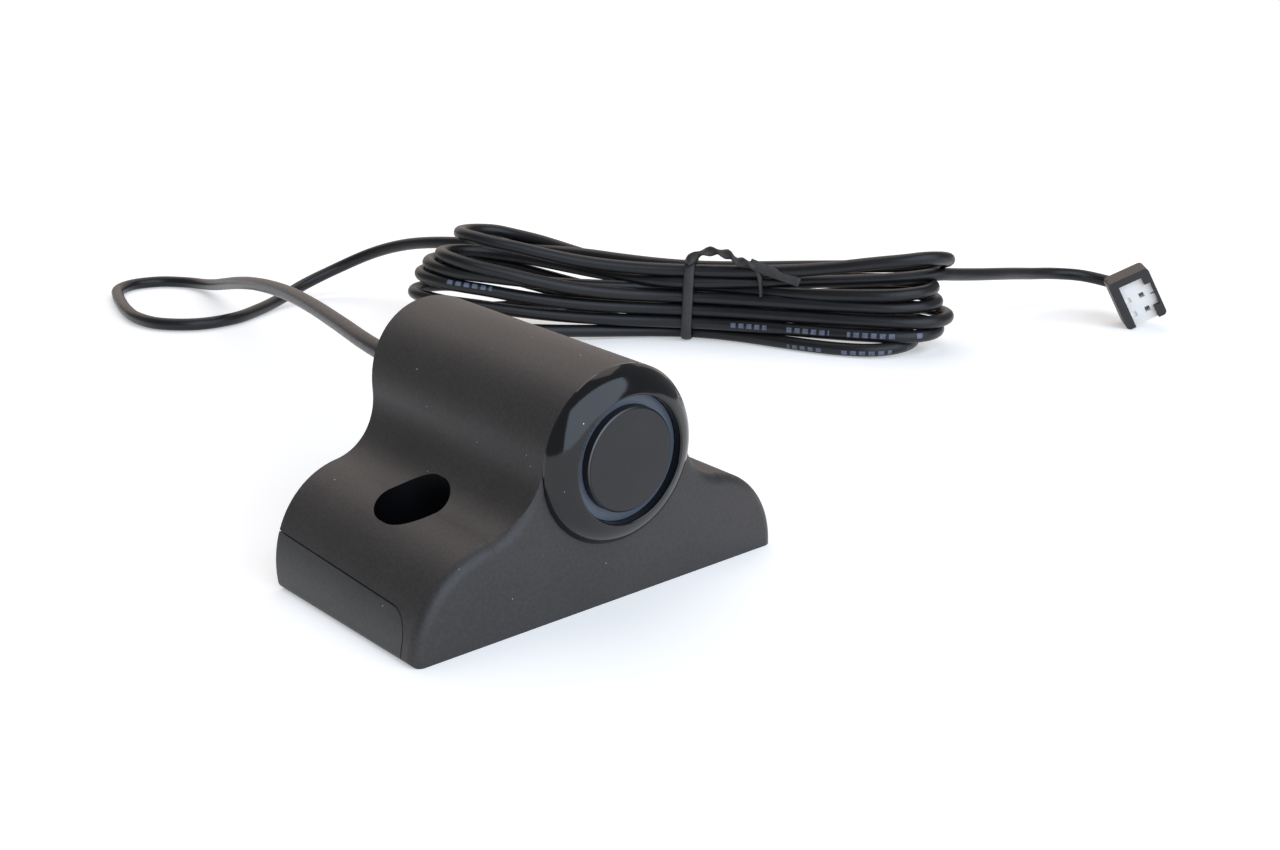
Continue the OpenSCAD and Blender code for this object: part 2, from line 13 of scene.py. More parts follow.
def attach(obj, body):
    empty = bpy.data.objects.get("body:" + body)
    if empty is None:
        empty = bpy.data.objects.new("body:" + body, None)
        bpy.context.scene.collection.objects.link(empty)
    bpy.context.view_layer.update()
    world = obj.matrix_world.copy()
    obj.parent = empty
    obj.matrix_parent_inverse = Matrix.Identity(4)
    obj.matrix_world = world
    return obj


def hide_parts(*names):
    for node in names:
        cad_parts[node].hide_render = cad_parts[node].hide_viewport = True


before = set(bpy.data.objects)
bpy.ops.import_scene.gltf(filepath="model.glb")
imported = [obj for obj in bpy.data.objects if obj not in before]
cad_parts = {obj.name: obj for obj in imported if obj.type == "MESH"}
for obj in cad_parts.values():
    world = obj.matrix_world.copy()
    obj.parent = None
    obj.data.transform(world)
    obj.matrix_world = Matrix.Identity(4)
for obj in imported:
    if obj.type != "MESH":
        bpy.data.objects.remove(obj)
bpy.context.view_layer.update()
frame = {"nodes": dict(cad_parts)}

LOG = logging.getLogger("parking_sensor")
MM = 0.001
BODY = "root"
PRINT_LAYER = "print"
Colour = Tuple[float, float, float]
Point = Tuple[float, float, float]
WHITE: Colour = (1.0, 1.0, 1.0)
TINY = 1e-6


class Socket(str, Enum):
    """Names of the shader inputs that the finishes set."""

    COLOUR = "Base Color"
    ROUGHNESS = "Roughness"
    METAL = "Metallic"
    NORMAL = "Normal"
    SPECULAR = "Specular IOR Level"


def rgba(colour: Colour) -> Tuple[float, float, float, float]:
    """Returns a colour with full opacity."""
    return (*colour, 1.0)


class NodeBench:
    """A small helper that adds and links shader nodes in one material."""

    def __init__(self, name: str) -> None:
        """Makes an empty material.

        Args:
            name: The material's name.
        """
        self.material = bpy.data.materials.new(name)
        self.material.use_nodes = True
        self.tree = self.material.node_tree
        self.shader = self.tree.nodes["Principled BSDF"]
        self.coordinates = self.tree.nodes.new("ShaderNodeTexCoord")

    def add(self, kind: str, **settings: object) -> bpy.types.Node:
        """Adds a node and sets its properties.

        Args:
            kind: The node's type, without the common prefix.
            **settings: Properties of the node.

        Returns:
            The new node.
        """
        node = self.tree.nodes.new("ShaderNode" + kind)
        for key, value in settings.items():
            setattr(node, key, value)
        return node

    def link(self, source: bpy.types.NodeSocket, target: bpy.types.NodeSocket) -> None:
        """Joins two sockets."""
        self.tree.links.new(source, target)

    def noise(self, scale: float, detail: float = 3.0, rough: float = 0.55) -> bpy.types.NodeSocket:
        """Adds a noise pattern on Object coordinates.

        Args:
            scale: Waves per metre.
            detail: Octaves of the pattern.
            rough: Strength of the finer octaves.

        Returns:
            The pattern's value socket.
        """
        node = self.add("TexNoise")
        node.inputs["Scale"].default_value = scale
        node.inputs["Detail"].default_value = detail
        node.inputs["Roughness"].default_value = rough
        self.link(self.coordinates.outputs["Object"], node.inputs["Vector"])
        return node.outputs["Fac"]

    def span(self, value: bpy.types.NodeSocket, low: float, high: float,
             start: float = 0.3, stop: float = 0.7) -> bpy.types.NodeSocket:
        """Maps a value from start..stop to low..high, held at both ends.

        Args:
            value: The socket to map.
            low: Result at start.
            high: Result at stop.
            start: Lower end of the value.
            stop: Upper end of the value.

        Returns:
            The mapped socket.
        """
        node = self.add("MapRange")
        node.inputs["From Min"].default_value = start
        node.inputs["From Max"].default_value = stop
        node.inputs["To Min"].default_value = low
        node.inputs["To Max"].default_value = high
        self.link(value, node.inputs["Value"])
        return node.outputs["Result"]

    def math(self, operation: str, a: bpy.types.NodeSocket, b: object = None) -> bpy.types.NodeSocket:
        """Adds one step of arithmetic.

        Args:
            operation: Blender's name of the operation.
            a: First operand.
            b: Second operand, a socket or a number.

        Returns:
            The result socket.
        """
        node = self.add("Math", operation=operation)
        self.link(a, node.inputs[0])
        if isinstance(b, (int, float)):
            node.inputs[1].default_value = b
        elif b is not None:
            self.link(b, node.inputs[1])
        return node.outputs[0]

    def blend(self, factor: bpy.types.NodeSocket, low: object, high: object) -> bpy.types.NodeSocket:
        """Blends two colours.

        Args:
            factor: Share of the second colour.
            low: First colour or colour socket.
            high: Second colour or colour socket.

        Returns:
            The blended colour socket.
        """
        node = self.add("Mix", data_type="RGBA")
        self.link(factor, node.inputs["Factor"])
        for value, name in ((low, "A"), (high, "B")):
            socket = next(s for s in node.inputs if s.name == name and s.type == "RGBA")
            if isinstance(value, tuple):
                socket.default_value = rgba(value)
            else:
                self.link(value, socket)
        return next(s for s in node.outputs if s.type == "RGBA")

    def axes(self) -> Sequence[bpy.types.NodeSocket]:
        """Returns the x, y and z sockets of the place on the object."""
        parts = self.add("SeparateXYZ")
        self.link(self.coordinates.outputs["Object"], parts.inputs["Vector"])
        return parts.outputs

    def radius(self, a: bpy.types.NodeSocket, b: bpy.types.NodeSocket) -> bpy.types.NodeSocket:
        """Returns the distance of a point from the middle, from its two coordinates."""
        return self.math("SQRT", self.math("ADD", self.math("MULTIPLY", a, a), self.math("MULTIPLY", b, b)))

    def bump(self, height: bpy.types.NodeSocket, strength: float, depth: float) -> None:
        """Roughens the surface.

        Args:
            height: Pattern of the relief.
            strength: Share of the relief that shows.
            depth: Height of the relief in metres.
        """
        node = self.add("Bump")
        node.inputs["Strength"].default_value = strength
        node.inputs["Distance"].default_value = depth
        self.link(height, node.inputs["Height"])
        self.link(node.outputs["Normal"], self.shader.inputs[Socket.NORMAL.value])

    def put(self, socket: Socket, value: object) -> None:
        """Sets or links one of the shader's inputs.

        Args:
            socket: Which input.
            value: A number or a socket.
        """
        target = self.shader.inputs[socket.value]
        if isinstance(value, (int, float)):
            target.default_value = value
        else:
            self.link(value, target)


@dataclass(frozen=True)
class Finish:
    """A finish with a soft mottle in colour and roughness and a fine relief.

    Attributes:
        name: Name of the material.
        dark: Colour at the dark end of the mottle.
        light: Colour at its light end.
        roughness: Least and greatest roughness.
        mottle: Waves of the mottle per metre.
        grain: Waves of the relief per metre.
        grain_detail: Octaves of the relief.
        relief: Height of the relief in metres.
        relief_strength: Share of the relief that shows.
        metal: Share of metal.
        specular: Level of the shine.
        speckle: How far fine grain shifts the mottle.
    """

    name: str
    dark: Colour
    light: Colour
    roughness: Tuple[float, float]
    mottle: float = 120.0
    grain: float = 2500.0
    grain_detail: float = 2.0
    relief: float = 0.00002
    relief_strength: float = 0.2
    metal: float = 0.0
    specular: float = 0.5
    speckle: float = 0.0

    def colour(self, bench: NodeBench) -> bpy.types.NodeSocket:
        """Returns the colour socket of the mottle, with its share of fine grain."""
        factor = bench.span(bench.noise(self.mottle), 0.0, 1.0)
        if self.speckle:
            grain = bench.span(bench.noise(self.grain / 2), -self.speckle, self.speckle)
            factor = bench.math("ADD", factor, grain)
        return bench.blend(factor, self.dark, self.light)

    def build(self) -> bpy.types.Material:
        """Makes the material.

        Returns:
            The finished material.
        """
        bench = NodeBench(self.name)
        fine = bench.noise(self.grain, self.grain_detail)
        bench.put(Socket.METAL, self.metal)
        bench.put(Socket.SPECULAR, self.specular)
        bench.put(Socket.ROUGHNESS, bench.span(fine, *self.roughness))
        bench.link(self.colour(bench), bench.shader.inputs[Socket.COLOUR.value])
        bench.bump(fine, self.relief_strength, self.relief)
        return bench.material


@dataclass(frozen=True)
class DustyFinish(Finish):
    """A finish with a few tiny pale specks of dust.

    Attributes:
        dust: Colour of the specks.
        dust_spacing: Size of the cells that may hold one speck each, in metres.
        dust_size: Radius of the largest specks, in metres.
        dust_share: Share of the cells that hold a speck.
        smallest_speck: Radius of the smallest specks as a share of the largest.
    """

    dust: Colour = (0.5, 0.5, 0.48)
    dust_spacing: float = 0.0015
    dust_size: float = 0.00014
    dust_share: float = 0.12
    smallest_speck: float = 0.4

    def colour(self, bench: NodeBench) -> bpy.types.NodeSocket:
        """Returns the mottle with specks laid over it."""
        base = super().colour(bench)
        cells = bench.add("TexVoronoi", feature="F1")
        cells.inputs["Scale"].default_value = 1.0 / self.dust_spacing
        bench.link(bench.coordinates.outputs["Object"], cells.inputs["Vector"])
        parts = bench.add("SeparateColor")
        bench.link(cells.outputs["Color"], parts.inputs["Color"])
        chosen = bench.math("LESS_THAN", parts.outputs["Red"], self.dust_share)
        reach = bench.span(parts.outputs["Green"], self.smallest_speck, 1.0, 0.0, 1.0)
        size = bench.math("MULTIPLY", reach, self.dust_size / self.dust_spacing)
        inside = bench.math("LESS_THAN", cells.outputs["Distance"], size)
        return bench.blend(bench.math("MULTIPLY", inside, chosen), base, self.dust)


@dataclass(frozen=True)
class ShadedWellFinish(DustyFinish):
    """The dusty finish of the housing, with painted shade that makes the two screw wells nearly black inside.

    Attributes:
        well_x: Distance of each well's middle from the housing's middle, in metres.
        well_y: Place of both wells' middles from front to back.
        well_radius: Radius of the wells' round ends.
        well_straight: Half the length of their straight sides.
        well_painted_shade: Painted shade colour inside the wells.
        well_specular: Level of the shine inside.
    """

    well_x: float = 0.0194
    well_y: float = 0.0006
    well_radius: float = 0.00466
    well_straight: float = 0.00055
    well_painted_shade: Colour = (0.0035, 0.0035, 0.0042)
    well_specular: float = 0.08

    def colour(self, bench: NodeBench) -> bpy.types.NodeSocket:
        """Returns the dusty colour with painted shade darkening the wells, and dulls the shine there."""
        base = super().colour(bench)
        x, y, _ = bench.axes()
        across = bench.math("SUBTRACT", bench.math("ABSOLUTE", x), self.well_x)
        from_middle = bench.math("ABSOLUTE", bench.math("SUBTRACT", y, self.well_y))
        along = bench.math("MAXIMUM", bench.math("SUBTRACT", from_middle, self.well_straight), 0.0)
        # inside marks the screw wells, where shade is painted into the colour.
        inside = bench.math("LESS_THAN", bench.radius(across, along), self.well_radius)
        bench.put(Socket.SPECULAR, bench.span(inside, self.specular, self.well_specular, 0.0, 1.0))
        return bench.blend(inside, base, self.well_painted_shade)


@dataclass(frozen=True)
class HighlightRimFinish(DustyFinish):
    """The finish of the disc, with a thin painted highlight on the lit side of its edge.

    Attributes:
        axis_z: Height of the disc's axis where it crosses y = 0, in metres.
        axis_tilt: Tilt of the axis in radians.
        rim_radii: Inner and outer radius of the painted highlight.
        lit_side: Direction from the disc's middle to the middle of the painted highlight.
        painted_highlight_colour: Colour of the painted highlight.
    """

    axis_z: float = 0.0216
    axis_tilt: float = math.radians(3.0)
    rim_radii: Tuple[float, float] = (0.00684, 0.00698)
    lit_side: Tuple[float, float] = (-0.78, 0.63)
    painted_highlight_colour: Colour = (0.12, 0.12, 0.13)

    def colour(self, bench: NodeBench) -> bpy.types.NodeSocket:
        """Returns the dusty colour with the painted highlight along the edge."""
        base = super().colour(bench)
        x, y, z = bench.axes()
        raised = bench.math("MULTIPLY", bench.math("SUBTRACT", z, self.axis_z), math.cos(self.axis_tilt))
        up = bench.math("SUBTRACT", raised, bench.math("MULTIPLY", y, math.sin(self.axis_tilt)))
        radius = bench.radius(x, up)
        inner, outer = self.rim_radii
        on_edge = bench.math("MULTIPLY", bench.math("GREATER_THAN", radius, inner),
                             bench.math("LESS_THAN", radius, outer))
        towards = bench.math("ADD", bench.math("MULTIPLY", x, self.lit_side[0]),
                             bench.math("MULTIPLY", up, self.lit_side[1]))
        lit = bench.span(towards, 0.0, 1.0, inner / 2, inner)
        # A pale painted highlight is blended in along the lit side of the edge.
        return bench.blend(bench.math("MULTIPLY", on_edge, lit), base, self.painted_highlight_colour)


@dataclass(frozen=True)
class SheathFinish(Finish):
    """The cable's sheath, with plain pale dashes printed along it.

    Attributes:
        ink: Colour of the dashes.
        runs: Printed stretches, each as its middle and half its length along the cable, in metres.
        patterns: Length and inked length of what repeats: groups of dashes, then the dashes.
        half_height: Half the dashes' height as an angle round the cable, in radians.
        turns_per_metre: How the print winds round the cable.
        phase: Angle of the print where the cable starts, in radians.
        wear: Waves of the wear per metre.
        least_ink: Share of the ink that is left where it is worn most.
    """

    ink: Colour = (0.16, 0.19, 0.27)
    runs: Sequence[Tuple[float, float]] = ((1.137, 0.0065), (1.321, 0.022), (1.575, 0.014))
    patterns: Sequence[Tuple[float, float]] = ((0.0145, 0.0105), (0.0019, 0.0012))
    half_height: float = 0.42
    turns_per_metre: float = -0.35
    phase: float = 3.1
    wear: float = 900.0
    least_ink: float = 0.5

    def colour(self, bench: NodeBench) -> bpy.types.NodeSocket:
        """Returns the sheath's colour with the dashes."""
        base = super().colour(bench)
        layer = bench.add("Attribute", attribute_name=PRINT_LAYER)
        parts = bench.add("SeparateXYZ")
        bench.link(layer.outputs["Vector"], parts.inputs["Vector"])
        level, up, along = (parts.outputs[axis] for axis in "XYZ")
        turned = bench.math("MULTIPLY", along, 2 * math.pi * self.turns_per_metre)
        angle = bench.math("ADD", turned, self.phase)
        facing = bench.math("ADD", bench.math("MULTIPLY", level, bench.math("COSINE", angle)),
                            bench.math("MULTIPLY", up, bench.math("SINE", angle)))
        mask = bench.math("GREATER_THAN", facing, math.cos(self.half_height))
        for period, inked in self.patterns:
            step = bench.math("FLOORED_MODULO", along, period)
            mask = bench.math("MULTIPLY", mask, bench.math("LESS_THAN", step, inked))
        in_run = None
        for middle, half in self.runs:
            away = bench.math("ABSOLUTE", bench.math("SUBTRACT", along, middle))
            inside = bench.math("LESS_THAN", away, half)
            in_run = inside if in_run is None else bench.math("ADD", in_run, inside)
        mask = bench.math("MULTIPLY", mask, in_run)
        worn = bench.math("MULTIPLY", mask, bench.span(bench.noise(self.wear), self.least_ink, 1.0))
        return bench.blend(worn, base, self.ink)


FINISHES: Dict[str, Finish] = {finish.name: finish for finish in (
    # The housing's finish paints shade into its two screw wells.
    ShadedWellFinish("housing_plastic", (0.024, 0.0212, 0.0208), (0.034, 0.0304, 0.0299), (0.42, 0.52),
               mottle=60.0, grain=4500.0, relief=0.00003, relief_strength=0.5, speckle=0.9,
               dust_size=0.00011),
    DustyFinish("base_plastic", (0.033, 0.032, 0.032), (0.043, 0.042, 0.042), (0.44, 0.54),
                mottle=70.0, grain=4500.0, relief=0.00003, relief_strength=0.5, speckle=0.9,
               dust_size=0.00011),
    DustyFinish("bezel_plastic", (0.003, 0.003, 0.004), (0.005, 0.005, 0.006), (0.09, 0.13),
                relief_strength=0.02, dust=(0.8, 0.8, 0.8), dust_spacing=0.0013, dust_size=0.00012),
    # The disc's finish carries a painted highlight along the lit side of its edge.
    HighlightRimFinish("cup_coat", (0.012, 0.012, 0.014), (0.017, 0.017, 0.019), (0.32, 0.4),
              grain=7000.0, relief_strength=0.3, specular=0.38, dust_share=0.05),
    Finish("soft_rubber", (0.012, 0.012, 0.013), (0.022, 0.022, 0.023), (0.6, 0.75)),
    # The sleeve's colour is partly the silicone's own and partly a painted reflection: its pale blue-grey
    # stands in for the bluish light that the ring reflects.
    Finish("ring_silicone_painted_reflection", (0.070, 0.088, 0.118), (0.085, 0.104, 0.136), (0.35, 0.45)),
    Finish("ceramic", (0.6, 0.55, 0.45), (0.72, 0.67, 0.56), (0.5, 0.6)),
    Finish("pad_foam", (0.24, 0.2, 0.15), (0.34, 0.3, 0.23), (0.85, 0.95), relief_strength=0.6),
    Finish("filler_silicone", (0.48, 0.48, 0.45), (0.58, 0.58, 0.55), (0.4, 0.5)),
    Finish("wire_coat", (0.38, 0.04, 0.02), (0.5, 0.06, 0.04), (0.35, 0.45)),
    Finish("board_laminate", (0.02, 0.11, 0.05), (0.035, 0.16, 0.07), (0.3, 0.4)),
    Finish("potting_resin", (0.01, 0.01, 0.011), (0.018, 0.018, 0.02), (0.2, 0.35)),
    Finish("core_insulation", (0.74, 0.73, 0.68), (0.84, 0.83, 0.78), (0.4, 0.5)),
    SheathFinish("cable_sheath", (0.005, 0.005, 0.006), (0.009, 0.009, 0.011), (0.32, 0.42),
                 mottle=90.0, grain=1800.0, relief_strength=0.12, specular=0.4),
    Finish("inner_sheath", (0.005, 0.005, 0.006), (0.009, 0.009, 0.011), (0.32, 0.42)),
    Finish("tie_plastic", (0.022, 0.020, 0.019), (0.038, 0.035, 0.034), (0.5, 0.65),
           mottle=300.0, grain=2000.0, relief=0.00004, relief_strength=0.4),
    Finish("hood_plastic", (0.014, 0.012, 0.012), (0.022, 0.019, 0.018), (0.4, 0.55)),
    Finish("insert_plastic", (0.96, 0.93, 0.88), (1.0, 0.97, 0.92), (0.4, 0.5), mottle=200.0),
    Finish("contact_brass", (0.30, 0.28, 0.26), (0.42, 0.40, 0.37), (0.35, 0.5), metal=1.0),
)}


class FinishShelf:
    """Hands out each finish once."""

    def __init__(self) -> None:
        """Starts with no material made."""
        self.made: Dict[str, bpy.types.Material] = {}

    def get(self, name: str) -> bpy.types.Material:
        """Returns the material of that name, made on first use."""
        if name not in self.made:
            self.made[name] = FINISHES[name].build()
        return self.made[name]


def dress(obj: bpy.types.Object, material: bpy.types.Material) -> None:
    """Gives an object one material."""
    obj.data.materials.clear()
    obj.data.materials.append(material)


@dataclass
class PhotoCamera:
    """The camera at the photograph's viewing angle.

    Attributes:
        eye: Its place, in millimetres.
        right: Direction of the picture's width.
        forward: Direction in which it looks.
        lens: Focal length in millimetres.
        sensor: Width of the sensor in millimetres.
        clip: Nearest and farthest distance that it sees, in metres.
    """

    eye: Point = (-111.596, -146.698, 76.437)
    right: Point = (0.7455, -0.6665, 0.0)
    forward: Point = (0.6376, 0.7133, -0.2909)
    lens: float = 39.6215
    sensor: float = 36.0
    clip: Tuple[float, float] = (0.005, 50.0)

    def build(self) -> None:
        """Makes the camera and sets it as the scene's."""
        data = bpy.data.cameras.new("photo_camera")
        data.lens = self.lens
        data.sensor_width = self.sensor
        data.sensor_fit = "HORIZONTAL"
        data.clip_start, data.clip_end = self.clip
        obj = bpy.data.objects.new("photo_camera", data)
        right, forward = Vector(self.right).normalized(), Vector(self.forward).normalized()
        up = right.cross(forward)
        turn = Matrix((right, up, -forward)).transposed().to_4x4()
        obj.matrix_world = Matrix.Translation(Vector(self.eye) * MM) @ turn
        bpy.context.scene.collection.objects.link(obj)
        bpy.context.scene.camera = obj


@dataclass
class Softbox:
    """One rectangular studio lamp, in metres and watts."""

    name: str
    place: Point
    aim: Point
    size: Tuple[float, float]
    power: float
    colour: Colour

    def build(self) -> None:
        """Makes the lamp."""
        data = bpy.data.lights.new(self.name, "AREA")
        data.shape = "RECTANGLE"
        data.size, data.size_y = self.size
        data.energy = self.power
        data.color = self.colour
        obj = bpy.data.objects.new(self.name, data)
        place = Vector(self.place)
        turn = (Vector(self.aim) - place).to_track_quat("-Z", "Y").to_matrix().to_4x4()
        obj.matrix_world = Matrix.Translation(place) @ turn
        obj.visible_camera = False
        bpy.context.scene.collection.objects.link(obj)


@dataclass
class Studio:
    """The pale floor, the lamps and the surrounding light.

    Attributes:
        floor_size: Side of the floor in metres.
        floor_colour: Colour of the floor.
        floor_roughness: Roughness of the floor, which has no shine.
        floor_lift: How much light is added where the floor is seen.
        around: Colour of the light from all round.
        around_level: Its strength.
        lamps: The studio lamps.
    """

    floor_size: float = 1.7
    floor_colour: Colour = (0.86, 0.86, 0.86)
    floor_roughness: float = 0.9
    floor_lift: float = 0.35
    around: Colour = (0.95, 0.97, 1.0)
    around_level: float = 0.26
    lamps: List[Softbox] = field(default_factory=lambda: [
        Softbox("top_softbox", (0.45, 0.8, 2.1), (0.0, 0.05, 0.0), (2.3, 2.1), 19.0, (1.0, 0.91, 0.85)),
        Softbox("front_softbox", (-0.12, -1.35, 0.78), (0.0, 0.0, 0.02), (2.5, 1.9), 34.0, (0.72, 0.84, 1.0)),
        Softbox("back_softbox", (0.75, 1.1, 0.6), (0.05, 0.05, 0.02), (2.2, 1.1), 5.0, (1.0, 0.82, 0.72)),
    ])

    def build_floor(self) -> None:
        """Makes the floor, lifted towards white where the camera or a reflection sees it."""
        mesh = bpy.data.meshes.new("floor")
        bm = bmesh.new()
        bmesh.ops.create_grid(bm, x_segments=1, y_segments=1, size=self.floor_size / 2)
        bm.to_mesh(mesh)
        bm.free()
        floor = bpy.data.objects.new("floor", mesh)
        bpy.context.scene.collection.objects.link(floor)
        bench = NodeBench("pale_floor")
        bench.shader.inputs[Socket.COLOUR.value].default_value = rgba(self.floor_colour)
        bench.put(Socket.ROUGHNESS, self.floor_roughness)
        bench.put(Socket.SPECULAR, 0.0)
        path = bench.add("LightPath")
        seen = bench.math("MAXIMUM", path.outputs["Is Camera Ray"], path.outputs["Is Glossy Ray"])
        seen = bench.math("MAXIMUM", seen, path.outputs["Is Transmission Ray"])
        bench.shader.inputs["Emission Color"].default_value = rgba(WHITE)
        bench.link(bench.math("MULTIPLY", seen, self.floor_lift), bench.shader.inputs["Emission Strength"])
        dress(floor, bench.material)

    def build_world(self) -> None:
        """Makes the even light from all round, seen as white by the camera."""
        world = bpy.data.worlds.new("studio")
        world.use_nodes = True
        tree = world.node_tree
        ground = tree.nodes["Background"]
        path = tree.nodes.new("ShaderNodeLightPath")
        tint = tree.nodes.new("ShaderNodeMix")
        tint.data_type = "RGBA"
        colours = [socket for socket in tint.inputs if socket.type == "RGBA"]
        colours[0].default_value = rgba(self.around)
        colours[1].default_value = rgba(WHITE)
        tree.links.new(path.outputs["Is Camera Ray"], tint.inputs["Factor"])
        mixed = next(socket for socket in tint.outputs if socket.type == "RGBA")
        tree.links.new(mixed, ground.inputs["Color"])
        level = tree.nodes.new("ShaderNodeMapRange")
        level.inputs["To Min"].default_value = self.around_level
        level.inputs["To Max"].default_value = 1.0
        tree.links.new(path.outputs["Is Camera Ray"], level.inputs["Value"])
        tree.links.new(level.outputs["Result"], ground.inputs["Strength"])
        bpy.context.scene.world = world

    def build(self) -> None:
        """Makes floor, world and lamps."""
        self.build_floor()
        self.build_world()
        for lamp in self.lamps:
            lamp.build()
        bpy.context.scene.view_settings.view_transform = "Standard"


class Side(Enum):
    """The two ends of the hank."""

    LEFT = -1
    RIGHT = 1


@dataclass(frozen=True)
class Lobe:
    """One rounded end of a turn, in the hank's frame and in millimetres.

    Attributes:
        reach: How far the outside of the bend lies from the tie.
        middle: Place of the bend's centre across the hank.
        near_z: Height on the near side.
        far_z: Height on the far side.
        rise: How much higher the bend lies halfway round.
    """

    reach: float
    middle: float
    near_z: float
    far_z: float
    rise: float = 0.0


def eased(t: float) -> float:
    """Returns t eased in and out."""
    return t * t * (3.0 - 2.0 * t)


@dataclass
class HankFrame:
    """The hank's own frame: s along it, d away from the near side, z up.

    Attributes:
        at: The middle of the hank at the tie, on the floor, in millimetres.
        turn: How far s is turned from the part's x, in degrees.
    """

    at: Point = (111.0, 86.0, 0.0)
    turn: float = -50.0

    def place(self, s: float, d: float, z: float) -> Vector:
        """Returns the point in the part's frame, in metres."""
        a = math.radians(self.turn)
        x = self.at[0] + s * math.cos(a) - d * math.sin(a)
        y = self.at[1] + s * math.sin(a) + d * math.cos(a)
        return Vector((x, y, z)) * MM


@dataclass
class Cable:
    """The whole free cable: lead, hank and tail in one smooth line, in millimetres.

    Attributes:
        diameter: Diameter of the cable.
        lead: Points from the back wall to the hank, as in the solid model.
        tail: Points from the hank to the plug, as in the solid model.
        lead_in: Points (s, d, z) between the lead and the tie.
        lead_row: Place (d, z) at the tie where the first turn starts.
        tail_row: Place at the tie where the last turn ends.
        tail_rise: Points (s, d, z) between the tie and the tail.
        near_rows: Places at the tie of the near strands, turn by turn.
        far_rows: Places at the tie of the far strands between the turns.
        right_lobes: Bends at the right end, turn by turn.
        left_lobes: Bends at the left end, turn by turn.
        bend_radius: Radius of all these bends.
        near_fall: How early a near strand reaches its height at the tie; 1 is a straight line.
        far_fall: The same for a far strand.
        settle_passes: How often the heights are evened out.
        strand_steps: Points on a strand between bend and tie.
        bend_steps: Points on a bend.
        line_steps: Rings of the tube from one point to the next.
        sides: Corners of a ring.
        frame: The hank's frame.
    """

    diameter: float = 2.95
    lead: Sequence[Point] = (
        (0, 24.23, 22.87), (0, 34, 23.4), (2, 45, 23.4), (7, 63, 23), (13, 83, 22), (19, 103, 20.4),
        (25, 123, 18), (31, 143, 15), (37, 163, 11.4), (43, 182, 7.6), (48, 199, 4.2), (50.5, 211, 2.2),
        (49.5, 219.5, 1.6), (44.5, 225.5, 1.6), (37.5, 226.5, 1.6), (31.5, 222, 1.6), (28, 214, 1.6),
        (25, 204.5, 1.6), (22.5, 195, 1.6), (21, 185, 1.6), (22.5, 175.5, 1.6), (29, 169, 1.6),
        (38, 169, 1.6), (47, 174, 1.6), (56, 179.5, 2.2), (65, 182.5, 4.5), (74, 180.5, 8), (80, 173.5, 12),
        (83, 163, 15.2), (85, 151, 17.2), (88.5, 139, 18), (92.5, 127.5, 18), (99.5, 108.3, 18))
    tail: Sequence[Point] = (
        (150, 44, 16), (157, 44, 15.1), (165, 44, 14.1), (174, 44.5, 13), (183, 45.5, 11.8), (191, 46, 10.7),
        (199.5, 45, 9.8), (206, 41, 9), (208.5, 34.5, 8), (207.9, 30.7, 7.65), (205.345, 27.13, 7.378),
        (202.344, 24.718, 7.378))
    lead_in: Sequence[Point] = ((-16.0, 2.8, 17.6), (-8.0, 1.1, 17.0))
    lead_row: Tuple[float, float] = (0.3, 16.7)
    tail_row: Tuple[float, float] = (-3.1, 13.4)
    tail_rise: Sequence[Point] = ((15, -3.1, 14.2), (30, -2.6, 14.6), (42, -1.8, 15.1), (50, -0.9, 15.7))
    near_rows: Sequence[Tuple[float, float]] = (
        (-3.1, 16.4), (-0.1, 11.8), (-3.1, 7.3), (-3.1, 4.4), (-0.1, 1.6), (-3.1, 10.3))
    far_rows: Sequence[Tuple[float, float]] = (
        (2.9, 13.7), (2.9, 7.4), (2.9, 4.5), (2.9, 1.6), (-0.1, 8.8))
    right_lobes: Sequence[Lobe] = (
        Lobe(59.0, 0.0, 22.0, 16.0, 1.0), Lobe(56.0, 0.0, 13.5, 13.0, 0.5), Lobe(59.5, -0.5, 7.5, 7.0),
        Lobe(57.5, -1.5, 4.5, 4.5), Lobe(52.0, -3.5, 1.6, 1.8, 0.8), Lobe(57.0, 0.5, 10.5, 10.3))
    left_lobes: Sequence[Lobe] = (
        Lobe(54.0, 2.5, 23.5, 22.0, 0.7), Lobe(61.0, -0.5, 16.3, 16.0, 0.8),
        Lobe(63.0, -0.5, 14.0, 13.5, 0.5), Lobe(65.0, 0.0, 9.8, 9.0, 0.3), Lobe(60.0, -3.0, 4.5, 3.5),
        Lobe(57.5, -2.0, 19.0, 17.5, 1.0))
    bend_radius: float = 10.0
    near_fall: float = 2.3
    far_fall: float = 1.6
    settle_passes: int = 3
    strand_steps: int = 7
    bend_steps: int = 8
    line_steps: int = 5
    sides: int = 14
    frame: HankFrame = field(default_factory=HankFrame)

    def strand(self, lobe_end: Point, row: Tuple[float, float], fall: float) -> List[Vector]:
        """Follows a strand from a lobe to the tie.

        Args:
            lobe_end: Where the bend ends, as (s, d, z).
            row: Place (d, z) at the tie.
            fall: How early the strand reaches its height at the tie.

        Returns:
            The points, without the one at the tie.
        """
        points = []
        s, d, z = lobe_end
        for i in range(self.strand_steps):
            t = i / self.strand_steps
            inward, down = eased(t), 1.0 - (1.0 - t) ** fall
            points.append(self.frame.place(s * (1.0 - t), d + (row[0] - d) * inward, z + (row[1] - z) * down))
        return points

